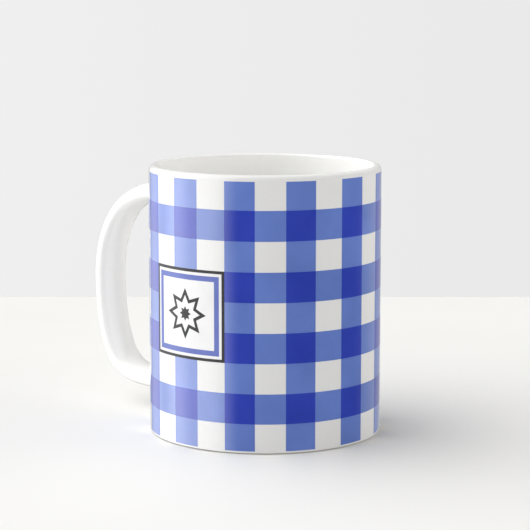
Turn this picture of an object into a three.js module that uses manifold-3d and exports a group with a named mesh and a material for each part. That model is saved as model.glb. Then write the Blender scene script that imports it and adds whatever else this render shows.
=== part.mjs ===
// A straight-sided stoneware mug with a strap handle and a gingham transfer print.
// Units are millimetres, +Z is up, the foot stands on z = 0, the handle points along -X and the
// square label faces -Y. The origin is the middle of the footprint of cup and handle together.

import * as THREE from 'three';
import { mergeVertices } from 'three/addons/utils/BufferGeometryUtils.js';
import Module from 'manifold-3d';

// ---- driving dimensions -------------------------------------------------------------------

// Cup
const CUP_RADIUS = 41.0;
const CUP_HEIGHT = 95.0;
const LIP_THICKNESS = 2.9;
const LIP_OUTER_RADIUS = 1.8;
const LIP_INNER_RADIUS = 0.9;
const BORE_RADIUS_LOW = 36.2;
const BORE_FLOOR_Z = 7.6;
const BORE_CORNER = 9.0;
const HEEL_RADIUS = 0.5;
const FOOT_OUTER_RADIUS = 39.8;
const FOOT_INNER_RADIUS = 33.3;
const FOOT_HEIGHT = 0.3;
const UNDERSIDE_Z = 2.4;
const UNDERSIDE_CORNER = 1.6;

// Handle: an oval strap on a superellipse centreline, squarer at its lower corner than its upper
const HANDLE_TOP_Z = 82.2;
const HANDLE_TIP_Z = 47.6;
const HANDLE_BOTTOM_Z = 10.8;
const HANDLE_REACH = 37.7;
const UPPER_SQUARENESS = 3.1;
const LOWER_SQUARENESS = 6.1;
const STRAP_HALF_THICKNESS = 3.7;
const STRAP_HALF_WIDTH = 7.0;
const STRAP_OVERLAP = 2.0;

// Slip joints between the cup and the two ends of the strap
const JOINT_LENGTH = 3.4;
const JOINT_FLARE = 2.6;
const JOINT_GAP = 0.02;

// Gingham print in square cells, with a plain gap behind the handle. Angles are in degrees.
const INK = 0.1;
const FACETS_ROUND = 98;
const FACET = 360 / FACETS_ROUND;
const STRIPE_WIDTH = 4 * FACET;
const STRIPE_COUNT = 11;
const STRIPES_BEFORE_LABEL = 2;
const PRINT_LOW_Z = 1.1;
const PRINT_HIGH_Z = 93.0;
const CELL_HEIGHT = 10.4;
const LABEL_MIDDLE_Z = 46.9;

// Square label, three cells each way, in the order border, margin, frame, field
const LABEL_HALF_ANGLE = 1.5 * STRIPE_WIDTH;
const BORDER_WIDTH = 1.0;
const MARGIN_WIDTH = 1.0;
const FRAME_WIDTH = 1.8;
const STAR_POINTS = 8;
const STAR_RADIUS = 8.8;
const STAR_WAIST = 0.6;
const STAR_STROKE = 1.2;
const CENTRE_RADIUS = 2.6;

// ---- worked out from the above --------------------------------------------------------------

const FIRST_STRIPE = -2 * STRIPES_BEFORE_LABEL * STRIPE_WIDTH;
const PRINT_START = FIRST_STRIPE - STRIPE_WIDTH / 2;
const PRINT_END = PRINT_START + (2 * STRIPE_COUNT - 1) * STRIPE_WIDTH;
const LABEL_HALF_HEIGHT = 1.5 * CELL_HEIGHT;
const LABEL_HALF_WIDTH = CUP_RADIUS * THREE.MathUtils.degToRad(LABEL_HALF_ANGLE);
const BAND_RADIUS = CUP_RADIUS + 2 * INK;
const MOTIF_RADIUS = CUP_RADIUS + 3 * INK;
const HANDLE_OUTER = CUP_RADIUS + HANDLE_REACH + STRAP_HALF_THICKNESS;
const CUP_AXIS_X = (HANDLE_OUTER - BAND_RADIUS) / 2;

const wasm = await Module();
wasm.setup();

// ---- materials ------------------------------------------------------------------------------

const finish = (color, roughness) => new THREE.MeshStandardMaterial({ color, roughness, metalness: 0 });

const whiteGlaze = () => finish(0xf1f1ee, 0.08);
const mediumBlueInk = () => finish(0x5f78c6, 0.1);
const deepBlueInk = () => finish(0x2f45b0, 0.1);
const labelWhiteInk = () => finish(0xf5f5f4, 0.1);
const charcoalInk = () => finish(0x36363a, 0.12);

// ---- booleans ---------------------------------------------------------------------------------

function toSolid(geometry) {
  const bare = geometry.index ? geometry.clone() : geometry;
  bare.deleteAttribute('normal');
  bare.deleteAttribute('uv');
  const merged = mergeVertices(bare, 1e-4);
  return new wasm.Manifold(new wasm.Mesh({
    numProp: 3,
    vertProperties: new Float32Array(merged.attributes.position.array),
    triVerts: new Uint32Array(merged.index.array),
  }));
}

function toGeometry(solid) {
  const { vertProperties, triVerts } = solid.getMesh();
  const geometry = new THREE.BufferGeometry();
  geometry.setAttribute('position', new THREE.BufferAttribute(vertProperties, 3));
  geometry.setIndex(new THREE.BufferAttribute(triVerts, 1));
  geometry.computeVertexNormals();
  return geometry;
}

// ---- plan shapes on the wall --------------------------------------------------------------------

// Azimuth is 0 at -Y and grows towards +X. Every ring and print shares the same facet azimuths,
// so one layer lies flat on the next.
function onCircle(radius, azimuth) {
  const a = THREE.MathUtils.degToRad(azimuth);
  return new THREE.Vector2(radius * Math.sin(a), -radius * Math.cos(a));
}

function arcPoints(radius, from, to) {
  const steps = Math.round(Math.abs(to - from) / FACET);
  const points = [];
  for (let i = 0; i <= steps; i += 1) {
    points.push(onCircle(radius, from + ((to - from) * i) / steps));
  }
  return points;
}

function raise(shape, low, high) {
  const geometry = new THREE.ExtrudeGeometry(shape, { depth: high - low, bevelEnabled: false });
  geometry.translate(0, 0, low);
  return geometry;
}

function sector(inner, outer, from, to, low, high) {
  const outline = [...arcPoints(outer, from, to), ...arcPoints(inner, to, from)];
  return raise(new THREE.Shape(outline), low, high);
}

function tube(inner, outer, low, high) {
  const shape = new THREE.Shape(arcPoints(outer, 0, 360).slice(0, -1));
  shape.holes.push(new THREE.Path(arcPoints(inner, 0, 360).slice(0, -1)));
  return raise(shape, low, high);
}

// ---- cup ----------------------------------------------------------------------------------------

function addArc(points, centreX, centreY, radius, from, to, steps) {
  for (let i = 0; i <= steps; i += 1) {
    const a = THREE.MathUtils.degToRad(from + ((to - from) * i) / steps);
    points.push(new THREE.Vector2(centreX + radius * Math.cos(a), centreY + radius * Math.sin(a)));
  }
}

// Profile from the middle of the underside, round the foot, up the wall, over the lip and down
// the bore to the middle of the floor.
function cupProfile() {
  const points = [new THREE.Vector2(0, UNDERSIDE_Z)];
  const step = UNDERSIDE_Z - UNDERSIDE_CORNER;
  addArc(points, FOOT_INNER_RADIUS - UNDERSIDE_CORNER, step, UNDERSIDE_CORNER, 90, 0, 3);
  points.push(new THREE.Vector2(FOOT_INNER_RADIUS, 0));
  points.push(new THREE.Vector2(FOOT_OUTER_RADIUS, 0));
  points.push(new THREE.Vector2(FOOT_OUTER_RADIUS, FOOT_HEIGHT));
  addArc(points, CUP_RADIUS - HEEL_RADIUS, FOOT_HEIGHT + HEEL_RADIUS, HEEL_RADIUS, -90, 0, 3);
  const outside = LIP_OUTER_RADIUS;
  addArc(points, CUP_RADIUS - outside, CUP_HEIGHT - outside, outside, 0, 90, 5);
  const inside = LIP_INNER_RADIUS;
  addArc(points, CUP_RADIUS - LIP_THICKNESS + inside, CUP_HEIGHT - inside, inside, 90, 180, 4);
  const corner = BORE_RADIUS_LOW - BORE_CORNER;
  addArc(points, corner, BORE_FLOOR_Z + BORE_CORNER, BORE_CORNER, 0, -90, 5);
  points.push(new THREE.Vector2(0, BORE_FLOOR_Z));
  return points;
}

function cupBody() {
  const geometry = new THREE.LatheGeometry(cupProfile(), FACETS_ROUND);
  geometry.rotateX(Math.PI / 2);
  return geometry;
}

// ---- handle -------------------------------------------------------------------------------------

// |x / reach|^n + |z / height|^2 = 1 around the tip level, with n the squareness of that half.
class HandleCentreline extends THREE.Curve {
  getPoint(t, target = new THREE.Vector3()) {
    const angle = Math.PI * (0.5 - t);
    const upper = angle >= 0;
    const power = 2 / (upper ? UPPER_SQUARENESS : LOWER_SQUARENESS);
    const height = upper ? HANDLE_TOP_Z - HANDLE_TIP_Z : HANDLE_TIP_Z - HANDLE_BOTTOM_Z;
    const out = (HANDLE_REACH + STRAP_OVERLAP) * Math.abs(Math.cos(angle)) ** power;
    return target.set(STRAP_OVERLAP - CUP_RADIUS - out, 0, HANDLE_TIP_Z + height * Math.sin(angle));
  }
}

function strapPoint(halfThickness, halfWidth, angle) {
  return new THREE.Vector2(halfThickness * Math.cos(angle), halfWidth * Math.sin(angle));
}

// The sweep lays the outline's x across the strap and its y through the strap's thickness.
function strapSection(sides) {
  const points = [];
  for (let i = 0; i < sides; i += 1) {
    const corner = strapPoint(STRAP_HALF_THICKNESS, STRAP_HALF_WIDTH, (2 * Math.PI * i) / sides);
    points.push(new THREE.Vector2(corner.y, corner.x));
  }
  return new THREE.Shape(points);
}

function handle() {
  const path = new HandleCentreline();
  path.arcLengthDivisions = 4000;
  const strap = new THREE.ExtrudeGeometry(strapSection(20), { steps: 44, extrudePath: path });
  const clear = tube(1, CUP_RADIUS + JOINT_LENGTH, -10, CUP_HEIGHT + 10);
  return toGeometry(toSolid(strap).subtract(toSolid(clear)));
}

// A block with the strap's section that flares by a quarter circle where it meets the wall.
function slipJoint(level) {
  const rows = 5;
  const depth = JOINT_LENGTH + STRAP_OVERLAP;
  const profile = [new THREE.Vector2(0, 0), new THREE.Vector2(1 + JOINT_FLARE, 0)];
  for (let i = 0; i <= rows; i += 1) {
    const across = i / rows;
    const flare = JOINT_FLARE * (1 - Math.sqrt(1 - (1 - across) ** 2));
    profile.push(new THREE.Vector2(1 + flare, STRAP_OVERLAP + JOINT_LENGTH * across));
  }
  profile.push(new THREE.Vector2(1, depth + 1), new THREE.Vector2(0, depth + 1));

  const block = new THREE.LatheGeometry(profile, 20);
  block.rotateZ(Math.PI / 2);
  const position = block.attributes.position;
  for (let i = 0; i < position.count; i += 1) {
    const flare = Math.hypot(position.getY(i), position.getZ(i)) - 1;
    if (flare < -0.5) {
      continue;
    }
    const angle = Math.atan2(position.getY(i), position.getZ(i));
    const corner = strapPoint(STRAP_HALF_THICKNESS + flare, STRAP_HALF_WIDTH + flare, angle);
    position.setY(i, corner.y);
    position.setZ(i, corner.x);
  }
  block.translate(STRAP_OVERLAP - CUP_RADIUS, 0, level);

  const outer = CUP_RADIUS + JOINT_LENGTH - JOINT_GAP;
  const shell = tube(CUP_RADIUS + JOINT_GAP, outer, -10, CUP_HEIGHT + 10);
  return toGeometry(toSolid(block).intersect(toSolid(shell)));
}

// ---- gingham print --------------------------------------------------------------------------------

const onStripe = (azimuth) => {
  const phase = THREE.MathUtils.euclideanModulo(azimuth + STRIPE_WIDTH / 2, 2 * STRIPE_WIDTH);
  return phase < STRIPE_WIDTH;
};

function stripe(centre, low, high) {
  const half = STRIPE_WIDTH / 2;
  return sector(CUP_RADIUS, CUP_RADIUS + INK, centre - half, centre + half, low, high);
}

// A band lies on the wall between stripes and steps up over each stripe that it crosses.
function band(from, to, low, high) {
  const outline = arcPoints(BAND_RADIUS, from, to);
  const cells = Math.round((to - from) / STRIPE_WIDTH);
  for (let i = 0; i < cells; i += 1) {
    const edge = to - i * STRIPE_WIDTH;
    const under = onStripe(edge - STRIPE_WIDTH / 2) ? CUP_RADIUS + INK : CUP_RADIUS;
    outline.push(...arcPoints(under, edge, edge - STRIPE_WIDTH));
  }
  return raise(new THREE.Shape(outline), low, high);
}

// ---- label ----------------------------------------------------------------------------------------

// A flat outline, drawn in arc length across and height up, becomes a prism through the wall.
function wallPrism(shape) {
  const geometry = new THREE.ExtrudeGeometry(shape, { depth: CUP_RADIUS, bevelEnabled: false });
  geometry.rotateX(Math.PI / 2);
  const position = geometry.attributes.position;
  for (let i = 0; i < position.count; i += 1) {
    position.setX(i, CUP_RADIUS * Math.sin(position.getX(i) / CUP_RADIUS));
  }
  geometry.translate(0, -CUP_RADIUS / 2, LABEL_MIDDLE_Z);
  return toSolid(geometry);
}

function rectangle(halfWidth, halfHeight) {
  return new THREE.Shape([
    new THREE.Vector2(-halfWidth, -halfHeight),
    new THREE.Vector2(halfWidth, -halfHeight),
    new THREE.Vector2(halfWidth, halfHeight),
    new THREE.Vector2(-halfWidth, halfHeight),
  ]);
}

const labelRectangle = (inset) => rectangle(LABEL_HALF_WIDTH - inset, LABEL_HALF_HEIGHT - inset);

function starPoints(tipRadius, waistRadius) {
  const points = [];
  for (let i = 0; i < 2 * STAR_POINTS; i += 1) {
    const radius = i % 2 === 0 ? tipRadius : waistRadius;
    const angle = (Math.PI * i) / STAR_POINTS + Math.PI / 2;
    points.push(new THREE.Vector2(radius * Math.cos(angle), radius * Math.sin(angle)));
  }
  return points;
}

const labelLow = LABEL_MIDDLE_Z - LABEL_HALF_HEIGHT;
const labelHigh = LABEL_MIDDLE_Z + LABEL_HALF_HEIGHT;

function labelSkin(inner, outer) {
  return sector(inner, outer, -LABEL_HALF_ANGLE, LABEL_HALF_ANGLE, labelLow, labelHigh);
}

const labelGround = () => labelSkin(CUP_RADIUS, BAND_RADIUS);
const motifSkin = () => toSolid(labelSkin(BAND_RADIUS, MOTIF_RADIUS));

function labelBorder() {
  return toGeometry(motifSkin().subtract(wallPrism(labelRectangle(BORDER_WIDTH))));
}

function labelFrame() {
  const outer = wallPrism(labelRectangle(BORDER_WIDTH + MARGIN_WIDTH));
  const inner = wallPrism(labelRectangle(BORDER_WIDTH + MARGIN_WIDTH + FRAME_WIDTH));
  return toGeometry(motifSkin().intersect(outer).subtract(inner));
}

// The outline of an eight-pointed folk star, one stroke wide.
function labelStar() {
  const shape = new THREE.Shape(starPoints(STAR_RADIUS, STAR_RADIUS * STAR_WAIST));
  const inside = STAR_RADIUS - 2 * STAR_STROKE;
  shape.holes.push(new THREE.Path(starPoints(inside, inside * STAR_WAIST)));
  return toGeometry(motifSkin().intersect(wallPrism(shape)));
}

function labelStarCentre() {
  const shape = new THREE.Shape(starPoints(CENTRE_RADIUS, CENTRE_RADIUS * STAR_WAIST));
  return toGeometry(motifSkin().intersect(wallPrism(shape)));
}

// ---- assembly -------------------------------------------------------------------------------------

const cup = new THREE.Group();
cup.position.x = CUP_AXIS_X;

function addPart(name, geometry, material) {
  const mesh = new THREE.Mesh(geometry, material);
  mesh.name = name;
  cup.add(mesh);
}

addPart('cup_body', cupBody(), whiteGlaze());
addPart('handle', handle(), whiteGlaze());
addPart('upper_slip_joint', slipJoint(HANDLE_TOP_Z), whiteGlaze());
addPart('lower_slip_joint', slipJoint(HANDLE_BOTTOM_Z), whiteGlaze());

for (let i = 0; i < STRIPE_COUNT; i += 1) {
  const centre = FIRST_STRIPE + i * 2 * STRIPE_WIDTH;
  const name = `print_stripe_${String(i + 1).padStart(2, '0')}`;
  if (centre === 0) {
    addPart(`${name}_upper`, stripe(centre, labelHigh, PRINT_HIGH_Z), mediumBlueInk());
    addPart(`${name}_lower`, stripe(centre, PRINT_LOW_Z, labelLow), mediumBlueInk());
  } else {
    addPart(name, stripe(centre, PRINT_LOW_Z, PRINT_HIGH_Z), mediumBlueInk());
  }
}

for (let row = 1; row <= 4; row += 1) {
  const low = LABEL_MIDDLE_Z + (4.5 - 2 * row) * CELL_HEIGHT;
  const high = low + CELL_HEIGHT;
  if (row === 2 || row === 3) {
    const beside = band(PRINT_START, -LABEL_HALF_ANGLE, low, high);
    addPart(`print_band_${row}_beside_handle`, beside, deepBlueInk());
    addPart(`print_band_${row}_round_cup`, band(LABEL_HALF_ANGLE, PRINT_END, low, high), deepBlueInk());
  } else {
    addPart(`print_band_${row}`, band(PRINT_START, PRINT_END, low, high), deepBlueInk());
  }
}

addPart('label_ground', labelGround(), labelWhiteInk());
addPart('label_border', labelBorder(), charcoalInk());
addPart('label_frame', labelFrame(), mediumBlueInk());
addPart('label_star', labelStar(), charcoalInk());
addPart('label_star_centre', labelStarCentre(), charcoalInk());

const mug = new THREE.Group();
mug.add(cup);

export default mug;
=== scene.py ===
"""A straight-sided white mug with a gingham transfer print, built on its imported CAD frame."""

import math

import bmesh
import bpy
from mathutils import Matrix, Vector


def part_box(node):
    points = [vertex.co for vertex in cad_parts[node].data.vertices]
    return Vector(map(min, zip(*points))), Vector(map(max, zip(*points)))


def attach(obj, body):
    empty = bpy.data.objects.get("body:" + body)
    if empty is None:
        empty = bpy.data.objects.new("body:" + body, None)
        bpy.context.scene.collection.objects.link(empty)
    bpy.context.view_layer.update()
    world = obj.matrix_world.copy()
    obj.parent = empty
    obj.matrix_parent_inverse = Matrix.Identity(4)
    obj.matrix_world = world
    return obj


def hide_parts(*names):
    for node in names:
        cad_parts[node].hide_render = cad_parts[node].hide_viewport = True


# Lengths in the scene are metres
MM = 0.001

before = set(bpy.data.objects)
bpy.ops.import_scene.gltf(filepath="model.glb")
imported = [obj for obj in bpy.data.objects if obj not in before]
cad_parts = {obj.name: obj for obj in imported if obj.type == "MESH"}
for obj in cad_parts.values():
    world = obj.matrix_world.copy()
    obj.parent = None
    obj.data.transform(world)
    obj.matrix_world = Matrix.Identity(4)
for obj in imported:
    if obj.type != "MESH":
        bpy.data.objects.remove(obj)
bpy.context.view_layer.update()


# ---- sizes read from the frame -----------------------------------------------------------------

cup_low, cup_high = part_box("cup_body")
handle_low, handle_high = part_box("handle")
upper_low, upper_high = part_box("upper_slip_joint")
lower_low, lower_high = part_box("lower_slip_joint")
star_low, star_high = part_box("label_star")
centre_low, centre_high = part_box("label_star_centre")

AXIS_X = (cup_low.x + cup_high.x) / 2
RADIUS = (cup_high.y - cup_low.y) / 2
HEIGHT = cup_high.z

# Cup details that the boxes don't give. The lip is an arc outside, a flat and an arc inside
LIP = 2.9 * MM
LIP_OUTSIDE = 1.8 * MM
LIP_INSIDE = 0.9 * MM
BORE_FOOT_RADIUS = 36.2 * MM
BORE_FLOOR = 7.6 * MM
BORE_CORNER = 9 * MM
HEEL = 0.5 * MM
FOOT_OUTER = 39.8 * MM
FOOT_INNER = 33.3 * MM
FOOT_HEIGHT = 0.3 * MM
FOOT_EDGE = 0.18 * MM
FOOT_BURIED = 0.2 * MM
UNDERSIDE = 2.4 * MM
UNDERSIDE_CORNER = 1.6 * MM

# Handle strap: a superellipse centreline with an oval section, given by its two half-sizes
STRAP_THICKNESS = 3.7 * MM
STRAP_WIDTH = (handle_high.y - handle_low.y) / 2
STRAP_SIDES = 64
STRAP_ROWS = 150
UPPER_SQUARENESS = 3.1
LOWER_SQUARENESS = 6.1
STRAP_OVERLAP = 2 * MM
WALL_CURVE_REACH = 12 * MM
FILLET_LENGTH = 3.4 * MM
FILLET_FLARE = 2.6 * MM
FILLET_STEPS = 14
FILLET_ROOT = 0.3 * MM
HANDLE_TOP = (upper_low.z + upper_high.z) / 2
HANDLE_BOTTOM = (lower_low.z + lower_high.z) / 2
HANDLE_TIP = 47.6 * MM
HANDLE_REACH = AXIS_X - handle_low.x - RADIUS - STRAP_THICKNESS

# Print films stand a few hundredths of a millimetre proud of the glaze
STRIPE_RISE = 0.02 * MM
BAND_RISE = 0.04 * MM
LABEL_RISE = 0.05 * MM
MOTIF_RISE = 0.07 * MM
FILM_ROOT = 0.15 * MM
FILM_ROW = 5 * MM

# Label, from its edge inwards, and the star's notches as a share of its points' reach
BORDER_WIDTH = 1.0 * MM
FRAME_MARGIN = 1.0 * MM
FRAME_WIDTH = 1.8 * MM
STAR_STROKE = 1.2 * MM
STAR_POINTS = 8
STAR_WAIST = 0.6

STRIPES = sorted(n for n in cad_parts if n.startswith("print_stripe_"))
BANDS = sorted(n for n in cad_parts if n.startswith("print_band_"))

# Columns round the cup, shared by the wall and the films so that they bend alike
SEGMENTS = 490
SHARP_ANGLE = math.radians(38)


# ---- materials ---------------------------------------------------------------------------------


def new_material(name, roughness, ior, specular):
    """A principled material and its shader, with the values that are the same all over."""
    material = bpy.data.materials.new(name)
    material.use_nodes = True
    shader = material.node_tree.nodes["Principled BSDF"]
    shader.inputs["Roughness"].default_value = roughness
    shader.inputs["IOR"].default_value = ior
    shader.inputs["Specular IOR Level"].default_value = specular
    return material, shader


def link_nodes(tree, source, target):
    """Joins an output socket to an input socket."""
    tree.links.new(source, target)


def noise(tree, scale, detail=2.0, roughness=0.5):
    """A noise texture fixed in the mug: scale is in cells per metre."""
    place = tree.nodes.new("ShaderNodeTexCoord")
    texture = tree.nodes.new("ShaderNodeTexNoise")
    texture.inputs["Scale"].default_value = scale
    texture.inputs["Detail"].default_value = detail
    texture.inputs["Roughness"].default_value = roughness
    link_nodes(tree, place.outputs["Object"], texture.inputs["Vector"])
    return texture.outputs["Fac"]


def spread(tree, value, low, high, from_low=0.3, from_high=0.7):
    """Maps a value to low..high, from the usual range of noise unless another is given."""
    node = tree.nodes.new("ShaderNodeMapRange")
    node.inputs["From Min"].default_value = from_low
    node.inputs["From Max"].default_value = from_high
    node.inputs["To Min"].default_value = low
    node.inputs["To Max"].default_value = high
    link_nodes(tree, value, node.inputs["Value"])
    return node.outputs["Result"]


def blend_colours(tree, factor, first, second):
    """Mixes two colours, each a tuple or a socket."""
    node = tree.nodes.new("ShaderNodeMix")
    node.data_type = "RGBA"
    link_nodes(tree, factor, node.inputs["Factor"])
    for socket, colour in ((node.inputs[6], first), (node.inputs[7], second)):
        if isinstance(colour, tuple):
            socket.default_value = (*colour, 1)
        else:
            link_nodes(tree, colour, socket)
    return node.outputs[2]


def math_node(tree, operation, *values):
    """One math step, whose values are numbers or sockets."""
    node = tree.nodes.new("ShaderNodeMath")
    node.operation = operation
    for socket, value in zip(node.inputs, values):
        if isinstance(value, (int, float)):
            socket.default_value = value
        else:
            link_nodes(tree, value, socket)
    return node.outputs[0]


def add_bump(tree, shader, layers):
    """Stacks bump layers, each (height socket, distance in metres)."""
    below = None
    for height, distance in layers:
        bump = tree.nodes.new("ShaderNodeBump")
        bump.inputs["Strength"].default_value = 1
        bump.inputs["Distance"].default_value = distance
        link_nodes(tree, height, bump.inputs["Height"])
        if below is not None:
            link_nodes(tree, below, bump.inputs["Normal"])
        below = bump.outputs["Normal"]
    link_nodes(tree, below, shader.inputs["Normal"])


def glaze_surface(tree, shader):
    """The slow waviness of fired glaze and a fine orange peel, shared by glaze and print."""
    slow_wave = noise(tree, 55, 1)
    orange_peel = noise(tree, 900, 2)
    add_bump(tree, shader, [(slow_wave, 0.012 * MM), (orange_peel, 0.0012 * MM)])


def off_axis(tree):
    """Distance from the cup's upright axis."""
    place = tree.nodes.new("ShaderNodeTexCoord")
    split = tree.nodes.new("ShaderNodeSeparateXYZ")
    link_nodes(tree, place.outputs["Object"], split.inputs[0])
    x, y, z = split.outputs
    across = math_node(tree, "POWER", math_node(tree, "SUBTRACT", x, AXIS_X), 2)
    along = math_node(tree, "POWER", y, 2)
    return math_node(tree, "SQRT", math_node(tree, "ADD", across, along))


def pooled_glaze(tree, white):
    """A white that is a little fuller where the glaze has pooled, and faintly mottled."""
    thin, pooled, speck = (tuple(share * c for c in white) for share in (0.988, 1.012, 0.97))
    colour = blend_colours(tree, spread(tree, noise(tree, 38, 3), 0, 1), thin, pooled)
    return blend_colours(tree, spread(tree, noise(tree, 900, 2), 0, 0.5), colour, speck)


def white_glaze(name, white, painted_shade_white=None):
    """Glossy glaze. A second, darker white, when given, is painted on the cup's outside: painted
    shade that keeps the outside dimmer than the inside under the same light.
    """
    material, shader = new_material(name, 0.07, 1.5, 0.9)
    tree = material.node_tree
    colour = pooled_glaze(tree, white)
    if painted_shade_white:
        # Painted shade: near the outer radius (the wall, heel and the lip's outer arc) the darker
        # white takes over
        shade_starts, shade_full = RADIUS - LIP_OUTSIDE, RADIUS - 0.1 * MM
        outside = spread(tree, off_axis(tree), 0, 1, shade_starts, shade_full)
        colour = blend_colours(tree, outside, colour, pooled_glaze(tree, painted_shade_white))
    link_nodes(tree, colour, shader.inputs["Base Color"])
    rough = spread(tree, noise(tree, 160, 3), 0.05, 0.1)
    link_nodes(tree, rough, shader.inputs["Roughness"])
    glaze_surface(tree, shader)
    return material


def print_ink(name, colour, ior, gloss):
    """A transfer ink: fine dots of slightly uneven density under the same glossy coat."""
    material, shader = new_material(name, 0.08, ior, gloss)
    tree = material.node_tree
    thin = tuple(min(1, c * 1.12 + 0.006) for c in colour)
    thick = tuple(c * 0.93 for c in colour)
    cloud = blend_colours(tree, spread(tree, noise(tree, 60, 3), 0, 1), thin, thick)
    grain = spread(tree, noise(tree, 4200, 1), 0, 0.35)
    link_nodes(tree, blend_colours(tree, grain, cloud, thin), shader.inputs["Base Color"])
    rough = spread(tree, noise(tree, 160, 3), 0.06, 0.11)
    link_nodes(tree, rough, shader.inputs["Roughness"])
    glaze_surface(tree, shader)
    return material


def bare_stoneware():
    """Dry, gritty clay that the glaze was wiped from."""
    material, shader = new_material("bare_stoneware", 0.8, 1.45, 0.35)
    tree = material.node_tree
    cloud = spread(tree, noise(tree, 220, 5, 0.7), 0, 1)
    clay = blend_colours(tree, cloud, (0.58, 0.54, 0.46), (0.72, 0.69, 0.62))
    grit = spread(tree, noise(tree, 2600, 1), 0, 1, 0.66, 0.74)
    gritty_clay = blend_colours(tree, grit, clay, (0.3, 0.26, 0.2))
    link_nodes(tree, gritty_clay, shader.inputs["Base Color"])
    link_nodes(tree, spread(tree, noise(tree, 700, 3), 0.7, 0.92), shader.inputs["Roughness"])
    add_bump(tree, shader, [(noise(tree, 1800, 4, 0.65), 0.05 * MM)])
    return material


# The handle's white is a little lighter than the cup's inside white: painted light, standing in for
# the light on the handle
HANDLE_GLAZE_PAINTED_LIGHT = white_glaze("white_glaze", (0.945, 0.938, 0.912))
# The cup's outside white is far darker than its inside white: painted shade
CUP_GLAZE = white_glaze("glaze_with_painted_shade_outside", (0.925, 0.922, 0.906), (0.732, 0.73, 0.726))
CLAY = bare_stoneware()
MEDIUM_BLUE = print_ink("medium_blue_ink", (0.109, 0.18, 0.505), 1.6, 0.9)
DEEP_BLUE = print_ink("deep_blue_ink", (0.0175, 0.04, 0.38), 1.6, 0.8)
LABEL_WHITE = print_ink("label_white_ink", (0.72, 0.72, 0.725), 1.5, 0.5)
LABEL_BLUE = print_ink("label_blue_ink", (0.103, 0.14, 0.425), 1.5, 0.35)
CHARCOAL = print_ink("charcoal_ink", (0.030, 0.030, 0.033), 1.5, 0.2)


# ---- mesh pieces -------------------------------------------------------------------------------


def make_piece(name, verts, faces, materials, picks, nodes):
    """A smooth mesh with its sharp edges marked. picks holds each face's material index."""
    mesh = bpy.data.meshes.new(name)
    mesh.from_pydata(verts, [], faces)
    for material in materials:
        mesh.materials.append(material)
    mesh.polygons.foreach_set("material_index", picks or [0] * len(faces))
    work = bmesh.new()
    work.from_mesh(mesh)
    bmesh.ops.recalc_face_normals(work, faces=work.faces)
    for face in work.faces:
        face.smooth = True
    for edge in work.edges:
        edge.smooth = len(edge.link_faces) == 2 and edge.calc_face_angle() < SHARP_ANGLE
    work.to_mesh(mesh)
    work.free()
    piece = bpy.data.objects.new(name, mesh)
    bpy.context.scene.collection.objects.link(piece)
    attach(piece, "root")
    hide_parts(*nodes)
    return piece


def on_wall(radius, angle, height):
    """A point round the cup: angle is 0 at -Y and grows towards +X, in radians."""
    return (AXIS_X + radius * math.sin(angle), -radius * math.cos(angle), height)


def arc(centre, radius, start, end, steps):
    """Points (r, z) of an arc, with angles in degrees from the +r direction."""
    points = []
    for i in range(steps + 1):
        a = math.radians(start + (end - start) * i / steps)
        points.append((centre[0] + radius * math.cos(a), centre[1] + radius * math.sin(a)))
    return points


def rise(start, end, steps):
    """Points strictly between start and end on a straight line."""
    return [
        tuple(a + (b - a) * i / steps for a, b in zip(start, end)) for i in range(1, steps)
    ]


def turn(name, profile, material, nodes, closed=False):
    """Turns an (r, z) profile round the cup's axis. An open profile starts and ends on the axis."""
    verts = []
    rings = []
    for r, z in profile:
        on_axis = r < 1e-9
        count = 1 if on_axis else SEGMENTS
        rings.append([len(verts) + k for k in range(count)])
        verts += [on_wall(r, 2 * math.pi * k / count, z) for k in range(count)]
    faces = []
    pairs = list(zip(rings, rings[1:]))
    if closed:
        pairs.append((rings[-1], rings[0]))
    for low, high in pairs:
        for k in range(SEGMENTS):
            corners = [
                low[k % len(low)],
                low[(k + 1) % len(low)],
                high[(k + 1) % len(high)],
                high[k % len(high)],
            ]
            faces.append(list(dict.fromkeys(corners)))
    return make_piece(name, verts, faces, [material], None, nodes)


def cup_shell():
    """The glazed cup. Its underside starts above the bare foot ring."""
    step = UNDERSIDE - UNDERSIDE_CORNER
    profile = [(r * MM, UNDERSIDE) for r in (0, 12, 24)]
    profile += arc((FOOT_INNER - UNDERSIDE_CORNER, step), UNDERSIDE_CORNER, 90, 0, 8)
    profile += [(FOOT_INNER, FOOT_HEIGHT), (FOOT_OUTER, FOOT_HEIGHT)]
    profile += arc((RADIUS - HEEL, FOOT_HEIGHT + HEEL), HEEL, -90, 0, 10)
    wall_foot = (RADIUS, FOOT_HEIGHT + HEEL)
    wall_top = (RADIUS, HEIGHT - LIP_OUTSIDE)
    profile += rise(wall_foot, wall_top, 24)
    profile += arc((RADIUS - LIP_OUTSIDE, HEIGHT - LIP_OUTSIDE), LIP_OUTSIDE, 0, 90, 16)
    bore_top = (RADIUS - LIP, HEIGHT - LIP_INSIDE)
    profile += arc((bore_top[0] + LIP_INSIDE, bore_top[1]), LIP_INSIDE, 90, 180, 12)
    bore_foot = (BORE_FOOT_RADIUS, BORE_FLOOR + BORE_CORNER)
    profile += rise(bore_top, bore_foot, 24)
    corner = (BORE_FOOT_RADIUS - BORE_CORNER, BORE_FLOOR + BORE_CORNER)
    profile += arc(corner, BORE_CORNER, 0, -90, 20)
    profile += [(r * MM, BORE_FLOOR) for r in (18, 9, 0)]
    return turn("cup_shell", profile, CUP_GLAZE, ["cup_body"])


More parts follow.
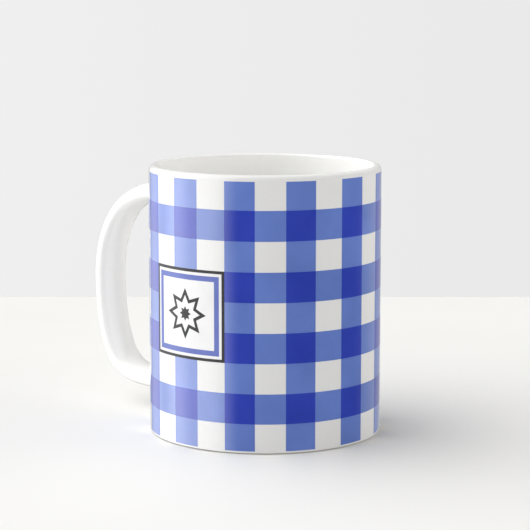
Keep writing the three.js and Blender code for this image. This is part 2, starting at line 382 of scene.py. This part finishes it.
def foot_ring():
    """The unglazed ring that the mug stands on, with its edges sponged round."""
    buried = FOOT_HEIGHT + FOOT_BURIED
    profile = arc((FOOT_INNER + FOOT_EDGE, FOOT_EDGE), FOOT_EDGE, -90, -180, 5)
    profile += [(FOOT_INNER, buried), (FOOT_OUTER, buried)]
    profile += arc((FOOT_OUTER - FOOT_EDGE, FOOT_EDGE), FOOT_EDGE, 0, -90, 5)
    return turn("foot_ring", profile, CLAY, ["cup_body"], closed=True)


# ---- handle ------------------------------------------------------------------------------------


def centreline_height(out, upper):
    """Height of the strap's centreline where it is `out` from its hidden root."""
    share = min(1, out / (HANDLE_REACH + STRAP_OVERLAP))
    squareness = UPPER_SQUARENESS if upper else LOWER_SQUARENESS
    rest = math.sqrt(max(0, 1 - share**squareness))
    end = HANDLE_TOP if upper else HANDLE_BOTTOM
    return HANDLE_TIP + (end - HANDLE_TIP) * rest


def strap_rows(count):
    """Evenly spaced (radius, height) points of the strap's centreline between the fillets."""
    samples = 6000
    reach = HANDLE_REACH + STRAP_OVERLAP
    points = []
    for i in range(samples + 1):
        angle = math.pi * (0.5 - i / samples)
        upper = angle >= 0
        power = 2 / (UPPER_SQUARENESS if upper else LOWER_SQUARENESS)
        end = HANDLE_TOP if upper else HANDLE_BOTTOM
        out = reach * abs(math.cos(angle)) ** power
        if out >= STRAP_OVERLAP + FILLET_LENGTH:
            height = HANDLE_TIP + (end - HANDLE_TIP) * abs(math.sin(angle))
            points.append(Vector((RADIUS - STRAP_OVERLAP + out, height)))
    lengths = [0]
    for a, b in zip(points, points[1:]):
        lengths.append(lengths[-1] + (b - a).length)
    rows = []
    k = 0
    for i in range(count + 1):
        goal = lengths[-1] * i / count
        while k < len(points) - 2 and lengths[k + 1] < goal:
            k += 1
        share = (goal - lengths[k]) / (lengths[k + 1] - lengths[k])
        rows.append(points[k].lerp(points[k + 1], share))
    return rows


def strap_ring(point, along, flare):
    """One section of the strap, bent to the wall's curve near the cup."""
    normal = Vector((-along.y, along.x))
    off_wall = max(0, point.x - RADIUS)
    bend = max(0, 1 - off_wall / WALL_CURVE_REACH)
    ring = []
    for k in range(STRAP_SIDES):
        a = 2 * math.pi * k / STRAP_SIDES
        thick = (STRAP_THICKNESS + flare) * math.cos(a)
        wide = (STRAP_WIDTH + flare) * math.sin(a)
        place = point + normal * thick
        sag = place.x - math.sqrt(max(0, place.x**2 - wide**2))
        ring.append((AXIS_X - (place.x - bend * sag), wide, place.y))
    return ring


def fillet_rows(upper):
    """Rings from just inside the wall out to the strap, on a quarter-circle flare."""
    rows = []
    along = Vector((1 if upper else -1, 0))
    for i in range(-1, FILLET_STEPS + 1):
        angle = math.pi / 2 * max(0, i) / FILLET_STEPS
        out = FILLET_LENGTH * (1 - math.cos(angle)) if i >= 0 else -FILLET_ROOT
        flare = FILLET_FLARE * (1 - math.sin(angle))
        centre = Vector((RADIUS + out, centreline_height(STRAP_OVERLAP + max(0, out), upper)))
        rows.append(strap_ring(centre, along, flare))
    return rows


def skin_faces(ring_count):
    """The four-sided faces between one ring of the strap and the next."""
    faces = []
    for i in range(ring_count - 1):
        near, far = i * STRAP_SIDES, (i + 1) * STRAP_SIDES
        for k in range(STRAP_SIDES):
            step = (k + 1) % STRAP_SIDES
            faces.append((near + k, near + step, far + step, far + k))
    return faces


def handle_pieces():
    """One smooth skin from wall to wall, handed over as two fillets and the strap."""
    rows = strap_rows(STRAP_ROWS)
    strap = []
    for i, point in enumerate(rows):
        before, after = rows[max(0, i - 1)], rows[min(len(rows) - 1, i + 1)]
        strap.append(strap_ring(point, (after - before).normalized(), 0))
    upper = fillet_rows(True)
    lower = fillet_rows(False)[::-1]
    rings = upper[:-1] + strap + lower[1:]
    verts = [v for ring in rings for v in ring]
    whole = bpy.data.meshes.new("handle_skin")
    whole.from_pydata(verts, [], skin_faces(len(rings)))
    normals = [v.normal.copy() for v in whole.vertices]
    bpy.data.meshes.remove(whole)

    first = len(upper) - 1
    last = first + len(strap) - 1
    spans = [
        ("upper_fillet", 0, first, "upper_slip_joint"),
        ("handle_strap", first, last, "handle"),
        ("lower_fillet", last, len(rings) - 1, "lower_slip_joint"),
    ]
    for name, start, end, node in spans:
        part = slice(start * STRAP_SIDES, (end + 1) * STRAP_SIDES)
        sides = skin_faces(end - start + 1)
        far_cap = (end - start) * STRAP_SIDES
        caps = [tuple(range(STRAP_SIDES)), tuple(range(far_cap, far_cap + STRAP_SIDES))]
        piece = make_piece(
            name, verts[part], sides + caps, [HANDLE_GLAZE_PAINTED_LIGHT], None, [node]
        )
        share_normals(piece, normals[part], len(sides))


def share_normals(piece, normals, side_faces):
    """Gives the side faces the whole skin's normals, so no seam shows between the pieces."""
    mesh = piece.data
    outward = 1
    face = mesh.polygons[side_faces // 2]
    if face.normal.dot(normals[face.vertices[0]]) < 0:
        outward = -1
    loops = []
    for polygon in mesh.polygons:
        for vertex in polygon.vertices:
            if polygon.index < side_faces:
                loops.append(normals[vertex] * outward)
            else:
                loops.append(polygon.normal.copy())
    mesh.normals_split_custom_set(loops)


# ---- print on the wall -------------------------------------------------------------------------


def span(node):
    """(first angle, last angle, low, high) of a print node, measured round the cup in radians."""
    points = [v.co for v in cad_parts[node].data.vertices]
    behind = -math.pi / 2
    angles = []
    for p in points:
        angle = math.atan2(p.x - AXIS_X, -p.y)
        angles.append(angle if angle > behind else angle + 2 * math.pi)
    heights = [p.z for p in points]
    return min(angles), max(angles), min(heights), max(heights)


def film(name, first, last, low, high, rise_by, materials, pick, slot, nodes):
    """A closed film on the wall. pick(angle) chooses the material of each column of its face."""
    columns = max(1, round((last - first) * SEGMENTS / (2 * math.pi)))
    rows = max(1, round((high - low) / FILM_ROW))
    inner, outer = RADIUS - FILM_ROOT, RADIUS + rise_by
    verts = []
    for radius in (inner, outer):
        for i in range(rows + 1):
            for k in range(columns + 1):
                angle = first + (last - first) * k / columns
                verts.append(on_wall(radius, angle, low + (high - low) * i / rows))
    layer = (rows + 1) * (columns + 1)

    def at(level, i, k):
        return level * layer + i * (columns + 1) + k

    faces = []
    picks = []
    for i in range(rows):
        for k in range(columns):
            middle = first + (last - first) * (k + 0.5) / columns
            for level in (0, 1):
                lower_edge = [at(level, i, k), at(level, i, k + 1)]
                upper_edge = [at(level, i + 1, k + 1), at(level, i + 1, k)]
                faces.append(lower_edge + upper_edge)
                picks.append(pick(middle))
    for k in range(columns):
        middle = first + (last - first) * (k + 0.5) / columns
        for i in (0, rows):
            faces.append([at(0, i, k), at(0, i, k + 1), at(1, i, k + 1), at(1, i, k)])
            picks.append(pick(middle))
    for i in range(rows):
        for k, edge in ((0, first), (columns, last)):
            faces.append([at(0, i, k), at(0, i + 1, k), at(1, i + 1, k), at(1, i, k)])
            picks.append(pick(edge))
    return make_piece(name, verts, faces, materials, picks, nodes)


def gingham():
    """Vertical stripes, then bands that go deep blue where they cross a stripe."""
    spans = {node: span(node) for node in STRIPES + BANDS}
    for node in STRIPES:
        film(f"{node}_film", *spans[node], STRIPE_RISE, [MEDIUM_BLUE], lambda angle: 0,
             "medium_blue_ink", [node])

    def crosses_stripe(angle):
        return int(any(spans[n][0] < angle < spans[n][1] for n in STRIPES))

    for node in BANDS:
        film(f"{node}_film", *spans[node], BAND_RISE, [MEDIUM_BLUE, DEEP_BLUE], crosses_stripe,
             "deep_blue_ink", [node])


def plate(name, outer, inner, rise_by, material, nodes):
    """A flat outline in arc length and height, thickened and wrapped on the wall.

    With an inner outline the plate is a ring between the two. Without one it is solid.
    """
    count = len(outer)
    inside = inner or [(0, (star_low.z + star_high.z) / 2)]
    work = bmesh.new()
    levels = []
    for level in (RADIUS - FILM_ROOT, RADIUS + rise_by):
        rim = [work.verts.new((u, level, v)) for u, v in outer]
        core = [work.verts.new((u, level, v)) for u, v in inside]
        levels.append((rim, core))
        for i in range(count):
            step = (i + 1) % count
            corners = [rim[i], rim[step], core[step % len(core)], core[i % len(core)]]
            work.faces.new(list(dict.fromkeys(corners)))
    for part in (0, 1):
        if part == 1 and inner is None:
            continue
        low, high = levels[0][part], levels[1][part]
        for i in range(count):
            step = (i + 1) % count
            work.faces.new((low[i], low[step], high[step], high[i]))
    reach = max(abs(u) for u, v in outer)
    column = 2 * math.pi * RADIUS / SEGMENTS
    cuts = int(reach / column)
    for i in range(-cuts, cuts + 1):
        everything = work.verts[:] + work.edges[:] + work.faces[:]
        bmesh.ops.bisect_plane(
            work, geom=everything, dist=1e-8, plane_co=(i * column, 0, 0), plane_no=(1, 0, 0)
        )
    work.verts.index_update()
    verts = [on_wall(v.co.y, v.co.x / RADIUS, v.co.z) for v in work.verts]
    faces = [[v.index for v in face.verts] for face in work.faces]
    work.free()
    return make_piece(name, verts, faces, [material], None, nodes)


def star_outline(radius):
    """A star's points and notches in turn, the first point at the top."""
    middle = (star_low.z + star_high.z) / 2
    points = []
    for i in range(2 * STAR_POINTS):
        angle = math.pi * i / STAR_POINTS
        reach = radius * (1 if i % 2 == 0 else STAR_WAIST)
        points.append((reach * math.sin(angle), middle + reach * math.cos(angle)))
    return points


def label():
    """White ground, charcoal border, blue frame and an eight-pointed folk star."""
    first, last, low, high = span("label_ground")
    film("label_ground_film", first, last, low, high, LABEL_RISE, [LABEL_WHITE],
         lambda angle: 0, "label_white_ink", ["label_ground"])

    half_width = (last - first) / 2 * RADIUS
    middle = (low + high) / 2

    def square(inset):
        u, v = half_width - inset, (high - low) / 2 - inset
        return [(-u, middle - v), (u, middle - v), (u, middle + v), (-u, middle + v)]

    frame_inset = BORDER_WIDTH + FRAME_MARGIN
    plate("label_border_film", square(0), square(BORDER_WIDTH), MOTIF_RISE, CHARCOAL,
          ["label_border"])
    plate("label_frame_film", square(frame_inset), square(frame_inset + FRAME_WIDTH),
          MOTIF_RISE, LABEL_BLUE, ["label_frame"])
    star = (star_high.z - star_low.z) / 2
    plate("label_star_film", star_outline(star), star_outline(star - 2 * STAR_STROKE),
          MOTIF_RISE, CHARCOAL, ["label_star"])
    heart = (centre_high.z - centre_low.z) / 2
    plate("label_star_centre_film", star_outline(heart), None, MOTIF_RISE, CHARCOAL,
          ["label_star_centre"])


# ---- camera, floor and light -------------------------------------------------------------------

VIEW_AZIMUTH = math.radians(41.5)
CAMERA_DISTANCE = 0.693
CAMERA_HEIGHT = 0.1642
CAMERA_PITCH = math.radians(8.64)
FOCAL_LENGTH = 134.1
SENSOR_WIDTH = 36

# The floor's reach from the cup's axis: behind, in front and to each side, in metres
FLOOR_BACK = 0.281
FLOOR_FRONT = 1.6
FLOOR_SIDE = 1.6

# Soft lamps: azimuth from the camera round by its right, elevation and reach in degrees, level
WINDOW = (-97, 36, 72, 2.35)
SIDE_WINDOW = (84, -10, 66, 2.4)
FRONT_FILL = (-24, 0, 50, 0.62)
DIM_ROOM = 0.23

# Tall strips that only reflections see, in the same form
WINDOW_STRIP = (-73, 0, 48, 2.15)
WIDE_STRIP = (-120, 0, 45, 1.55)
REAR_STRIP = (158, 0, 60, 0.5)
DIM_REFLECTION = 0.08

# What the camera sees behind the floor, a little brighter on its left
BACKDROP_GLOW = (-130, 0, 60, 0.1)
BACKDROP = 0.82

# The light is a little warmer round this direction
WARM_SIDE = (110, 0, 120, 1)
NEUTRAL = (1.0, 1.0, 1.0)
WARM = (1.0, 0.99, 0.965)


def studio_camera():
    """A long lens, aimed through the cup's axis."""
    data = bpy.data.cameras.new("camera")
    data.lens = FOCAL_LENGTH
    data.sensor_width = SENSOR_WIDTH
    data.clip_start = 0.01
    camera = bpy.data.objects.new("camera", data)
    bpy.context.scene.collection.objects.link(camera)
    camera.location = (
        AXIS_X + CAMERA_DISTANCE * math.sin(VIEW_AZIMUTH),
        -CAMERA_DISTANCE * math.cos(VIEW_AZIMUTH),
        CAMERA_HEIGHT,
    )
    camera.rotation_euler = (math.pi / 2 - CAMERA_PITCH, 0, VIEW_AZIMUTH)
    bpy.context.scene.camera = camera


def pale_floor():
    """A table top whose far edge runs straight across behind the mug."""
    material, shader = new_material("pale_floor", 0.55, 1.45, 0.3)
    tree = material.node_tree
    tone = spread(tree, noise(tree, 6, 3), 0, 1)
    shade = blend_colours(tree, tone, (0.818, 0.813, 0.794), (0.846, 0.842, 0.825))
    link_nodes(tree, shade, shader.inputs["Base Color"])
    corners = [
        (-FLOOR_SIDE, FLOOR_BACK), (FLOOR_SIDE, FLOOR_BACK),
        (FLOOR_SIDE, -FLOOR_FRONT), (-FLOOR_SIDE, -FLOOR_FRONT),
    ]
    turned = Matrix.Rotation(VIEW_AZIMUTH, 2)
    verts = []
    for corner in corners:
        x, y = turned @ Vector(corner)
        verts.append((AXIS_X + x, y, 0))
    mesh = bpy.data.meshes.new("floor")
    mesh.from_pydata(verts, [], [(0, 3, 2, 1)])
    mesh.materials.append(material)
    floor = bpy.data.objects.new("floor", mesh)
    bpy.context.scene.collection.objects.link(floor)
    floor.visible_glossy = False


def mix_values(tree, factor, first, second):
    """Mixes two brightness sockets."""
    node = tree.nodes.new("ShaderNodeMix")
    link_nodes(tree, factor, node.inputs["Factor"])
    link_nodes(tree, first, node.inputs["A"])
    link_nodes(tree, second, node.inputs["B"])
    return node.outputs["Result"]


def towards(azimuth, elevation):
    """A direction in the room. Azimuth is in degrees from the camera round by its right."""
    heading = VIEW_AZIMUTH + math.radians(azimuth)
    climb = math.radians(elevation)
    flat = math.cos(climb)
    return (flat * math.sin(heading), -flat * math.cos(heading), math.sin(climb))


def soft_lamp(tree, direction, azimuth, elevation, reach, level):
    """A lamp's brightness over the room: full at its middle and gone `reach` degrees from it."""
    toward = tree.nodes.new("ShaderNodeVectorMath")
    toward.operation = "DOT_PRODUCT"
    toward.inputs[1].default_value = towards(azimuth, elevation)
    link_nodes(tree, direction, toward.inputs[0])
    fall = tree.nodes.new("ShaderNodeMapRange")
    fall.interpolation_type = "SMOOTHSTEP"
    fall.inputs["From Min"].default_value = math.cos(math.radians(reach))
    fall.inputs["To Max"].default_value = level
    link_nodes(tree, toward.outputs["Value"], fall.inputs["Value"])
    return fall.outputs["Result"]


def lamps(tree, direction, base, *lights):
    """Adds soft lamps to a base brightness."""
    total = base
    for light in lights:
        total = math_node(tree, "ADD", total, soft_lamp(tree, direction, *light))
    return total


def reflected_strips(tree, around):
    """Strips as a straight wall shows them: the same at every height, and dimmer when steep."""
    upright = tree.nodes.new("ShaderNodeVectorMath")
    upright.operation = "MULTIPLY"
    upright.inputs[1].default_value = (1, 1, 0)
    link_nodes(tree, around, upright.inputs[0])
    level_way = tree.nodes.new("ShaderNodeVectorMath")
    level_way.operation = "NORMALIZE"
    link_nodes(tree, upright.outputs[0], level_way.inputs[0])
    strips = lamps(
        tree, level_way.outputs[0], DIM_REFLECTION, WINDOW_STRIP, WIDE_STRIP, REAR_STRIP
    )
    split = tree.nodes.new("ShaderNodeSeparateXYZ")
    link_nodes(tree, around, split.inputs[0])
    steep = math_node(tree, "POWER", split.outputs["Z"], 2)
    return math_node(tree, "MULTIPLY", strips, spread(tree, steep, 1, 0.35, 0.25, 0.85))


def studio_light():
    """A soft room: a wide window on the camera's left, a smaller one on its right, a front fill."""
    world = bpy.data.worlds.new("studio")
    bpy.context.scene.world = world
    world.use_nodes = True
    tree = world.node_tree
    tree.nodes.clear()
    place = tree.nodes.new("ShaderNodeTexCoord")
    around = place.outputs["Generated"]
    path = tree.nodes.new("ShaderNodeLightPath")
    is_seen = path.outputs["Is Camera Ray"]

    room = lamps(tree, around, DIM_ROOM, WINDOW, SIDE_WINDOW, FRONT_FILL)
    strips = reflected_strips(tree, around)
    lit = mix_values(tree, path.outputs["Is Glossy Ray"], room, strips)
    backdrop = lamps(tree, around, BACKDROP, BACKDROP_GLOW)
    background = tree.nodes.new("ShaderNodeBackground")
    link_nodes(tree, mix_values(tree, is_seen, lit, backdrop), background.inputs["Strength"])

    warm_side = soft_lamp(tree, around, *WARM_SIDE)
    warmth = math_node(tree, "MULTIPLY", warm_side, math_node(tree, "SUBTRACT", 1, is_seen))
    link_nodes(tree, blend_colours(tree, warmth, NEUTRAL, WARM), background.inputs["Color"])
    output = tree.nodes.new("ShaderNodeOutputWorld")
    link_nodes(tree, background.outputs[0], output.inputs["Surface"])


cup_shell()
foot_ring()
handle_pieces()
gingham()
label()
studio_camera()
pale_floor()
studio_light()
bpy.context.scene.view_settings.view_transform = "Standard"
